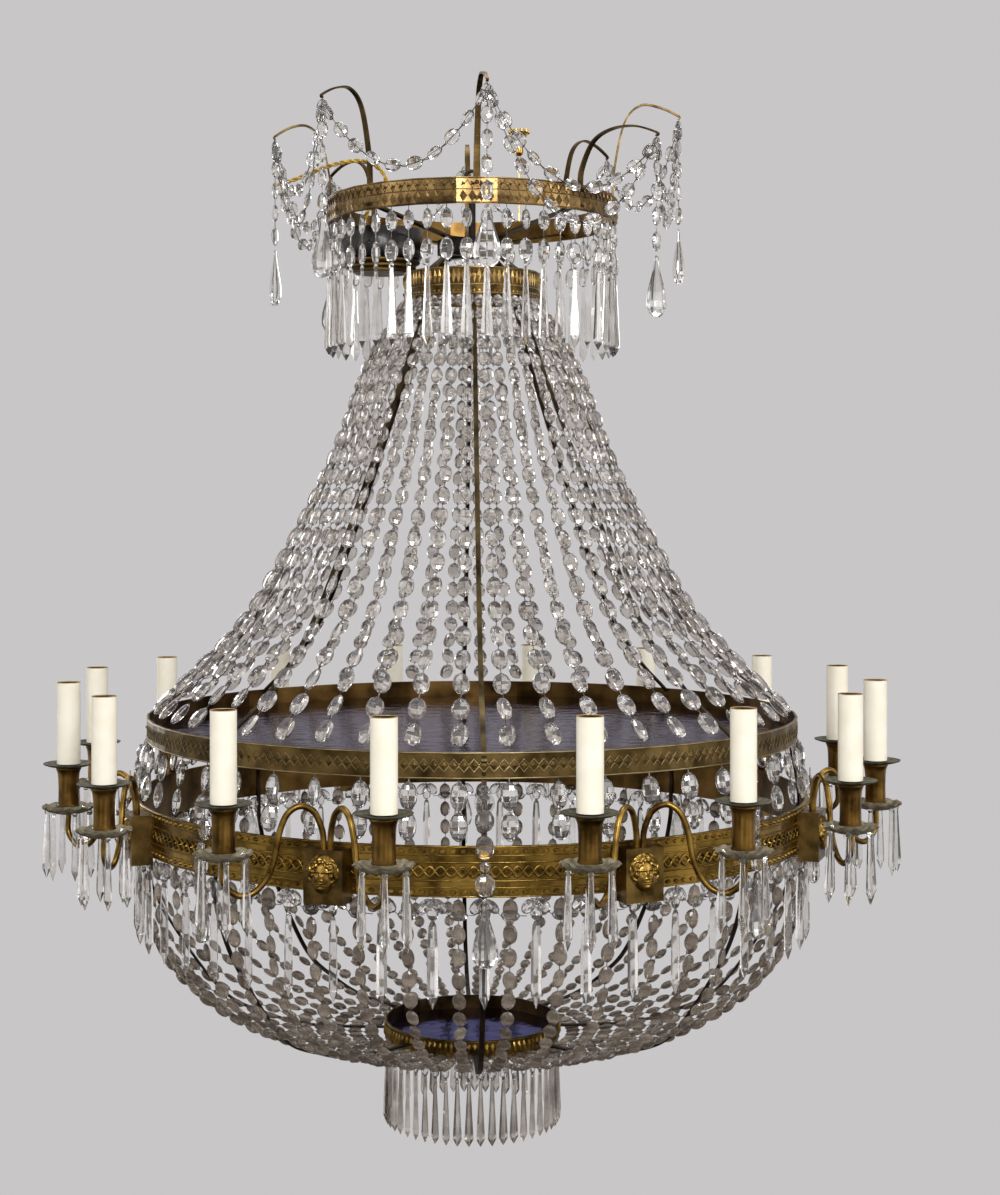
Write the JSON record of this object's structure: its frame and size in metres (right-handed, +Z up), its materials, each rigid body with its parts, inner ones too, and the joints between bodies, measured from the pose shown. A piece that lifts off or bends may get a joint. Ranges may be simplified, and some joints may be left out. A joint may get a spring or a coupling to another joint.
{
  "type": "crystal chandelier",
  "caption": "Empire tent-and-basket chandelier with bead curtain, embossed brass hoops, candle arms, prism fringes and blue glass discs.",
  "frame": {"origin": "top of the hanging ring, where a ceiling hook holds it", "axes": "+Z up along the chandelier's axis; the front faces -Y and +X is to its right"},
  "size_m": [0.9054, 0.9054, 1.1199],
  "materials": {
    "gilt_brass": "embossed, lacquer worn",
    "bright_gilt": "polished gilding",
    "olive_bronze": "tarnished, rubbed bright on the relief",
    "copper_brass": "turned, coppery sheen",
    "verdigris_brass": "dull grey-green patina",
    "dark_iron": "dark brown oxide",
    "black_iron": "black forged",
    "black_enamel": "gloss black",
    "crystal": "cut and polished lead crystal",
    "cobalt_glass": "rippled cobalt glass with a reflecting back",
    "ivory_card": "matt ivory card sleeve",
    "brown_bakelite": "moulded",
    "golden_flex": "clear yellow sheath, twisted pair"
  },
  "bodies": {
    "hanger": {"hanging_ring": "black_iron"},
    "chandelier": {"suspension_eye": "black_iron", "hub_plate": "black_iron", "hub_stays": "gilt_brass", "crown_band": "gilt_brass", "crown_arms": "dark_iron", "crown_strings": "crystal", "crown_swags": "crystal", "crown_fringe": "crystal", "coronet": "bright_gilt", "ceiling_cup": "black_enamel", "cup_base": "gilt_brass", "supply_flex": "golden_flex", "collar_band": "gilt_brass", "stems": "dark_iron", "curtain_strands": "crystal", "main_band": "olive_bronze", "disc_ledge": "olive_bronze", "glass_disc": "cobalt_glass", "gallery_strings": "crystal", "waist_strings": "crystal", "arm_band": "gilt_brass", "arm_band_fringe": "crystal", "basket_ribs": "dark_iron", "basket_strands": "crystal", "bottom_band": "gilt_brass", "glass_dish": "cobalt_glass", "bottom_fringe": "crystal", "swan_arms": "gilt_brass", "drip_pans": "verdigris_brass", "candle_cups": "copper_brass", "wax_dishes": "verdigris_brass", "candle_sleeves": "ivory_card", "lampholders": "brown_bakelite", "pan_prisms": "crystal", "bracket_1": "gilt_brass", "bracket_2": "gilt_brass", "bracket_3": "gilt_brass", "bracket_4": "gilt_brass", "bracket_5": "gilt_brass", "bracket_6": "gilt_brass", "bracket_7": "gilt_brass", "bracket_8": "gilt_brass"},
    "crown_pear_1": {"crown_pear_1": "crystal"},
    "crown_pear_2": {"crown_pear_2": "crystal"},
    "crown_pear_3": {"crown_pear_3": "crystal"},
    "crown_pear_4": {"crown_pear_4": "crystal"},
    "crown_pear_5": {"crown_pear_5": "crystal"},
    "crown_pear_6": {"crown_pear_6": "crystal"},
    "crown_pear_7": {"crown_pear_7": "crystal"},
    "crown_pear_8": {"crown_pear_8": "crystal"},
    "waist_pear_1": {"waist_pear_1": "crystal"},
    "waist_pear_2": {"waist_pear_2": "crystal"},
    "waist_pear_3": {"waist_pear_3": "crystal"},
    "waist_pear_4": {"waist_pear_4": "crystal"},
    "waist_pear_5": {"waist_pear_5": "crystal"},
    "waist_pear_6": {"waist_pear_6": "crystal"},
    "waist_pear_7": {"waist_pear_7": "crystal"},
    "waist_pear_8": {"waist_pear_8": "crystal"}
  },
  "joints": [
    {"name": "ring_swing", "type": "hinge", "parent": "hanger", "child": "chandelier", "pos_m": [0, 0, -0.019], "axis": [1, 0, 0], "range_deg": [-12, 12]},
    {"name": "crown_pear_1_swing", "type": "hinge", "parent": "chandelier", "child": "crown_pear_1", "pos_m": [0.00753, -0.22761, -0.07515], "axis": [0, -1, 0], "range_deg": [-20, 20]},
    {"name": "crown_pear_2_swing", "type": "hinge", "parent": "chandelier", "child": "crown_pear_2", "pos_m": [0.17987, -0.18491, -0.11915], "axis": [0.7071, -0.7071, 0], "range_deg": [-20, 20]},
    {"name": "crown_pear_3_swing", "type": "hinge", "parent": "chandelier", "child": "crown_pear_3", "pos_m": [0.228, 0, -0.06515], "axis": [1, 0, 0], "range_deg": [-20, 20]},
    {"name": "crown_pear_4_swing", "type": "hinge", "parent": "chandelier", "child": "crown_pear_4", "pos_m": [0.16546, 0.16546, -0.07915], "axis": [0.7071, 0.7071, 0], "range_deg": [-20, 20]},
    {"name": "crown_pear_5_swing", "type": "hinge", "parent": "chandelier", "child": "crown_pear_5", "pos_m": [0, 0.228, -0.07515], "axis": [0, 1, 0], "range_deg": [-20, 20]},
    {"name": "crown_pear_6_swing", "type": "hinge", "parent": "chandelier", "child": "crown_pear_6", "pos_m": [-0.16122, 0.16122, -0.10515], "axis": [-0.7071, 0.7071, 0], "range_deg": [-20, 20]},
    {"name": "crown_pear_7_swing", "type": "hinge", "parent": "chandelier", "child": "crown_pear_7", "pos_m": [-0.216, 0, -0.09015], "axis": [-1, 0, 0], "range_deg": [-20, 20]},
    {"name": "crown_pear_8_swing", "type": "hinge", "parent": "chandelier", "child": "crown_pear_8", "pos_m": [-0.15698, -0.15698, -0.07715], "axis": [-0.7071, -0.7071, 0], "range_deg": [-20, 20]},
    {"name": "waist_pear_1_swing", "type": "hinge", "parent": "chandelier", "child": "waist_pear_1", "pos_m": [0, -0.378, -0.73015], "axis": [0, -1, 0], "range_deg": [-20, 20]},
    {"name": "waist_pear_2_swing", "type": "hinge", "parent": "chandelier", "child": "waist_pear_2", "pos_m": [0.26729, -0.26729, -0.73015], "axis": [0.7071, -0.7071, 0], "range_deg": [-20, 20]},
    {"name": "waist_pear_3_swing", "type": "hinge", "parent": "chandelier", "child": "waist_pear_3", "pos_m": [0.378, 0, -0.73015], "axis": [1, 0, 0], "range_deg": [-20, 20]},
    {"name": "waist_pear_4_swing", "type": "hinge", "parent": "chandelier", "child": "waist_pear_4", "pos_m": [0.26729, 0.26729, -0.73015], "axis": [0.7071, 0.7071, 0], "range_deg": [-20, 20]},
    {"name": "waist_pear_5_swing", "type": "hinge", "parent": "chandelier", "child": "waist_pear_5", "pos_m": [0, 0.378, -0.73015], "axis": [0, 1, 0], "range_deg": [-20, 20]},
    {"name": "waist_pear_6_swing", "type": "hinge", "parent": "chandelier", "child": "waist_pear_6", "pos_m": [-0.26729, 0.26729, -0.73015], "axis": [-0.7071, 0.7071, 0], "range_deg": [-20, 20]},
    {"name": "waist_pear_7_swing", "type": "hinge", "parent": "chandelier", "child": "waist_pear_7", "pos_m": [-0.378, 0, -0.73015], "axis": [-1, 0, 0], "range_deg": [-20, 20]},
    {"name": "waist_pear_8_swing", "type": "hinge", "parent": "chandelier", "child": "waist_pear_8", "pos_m": [-0.26729, -0.26729, -0.73015], "axis": [-0.7071, -0.7071, 0], "range_deg": [-20, 20]}
  ]
}
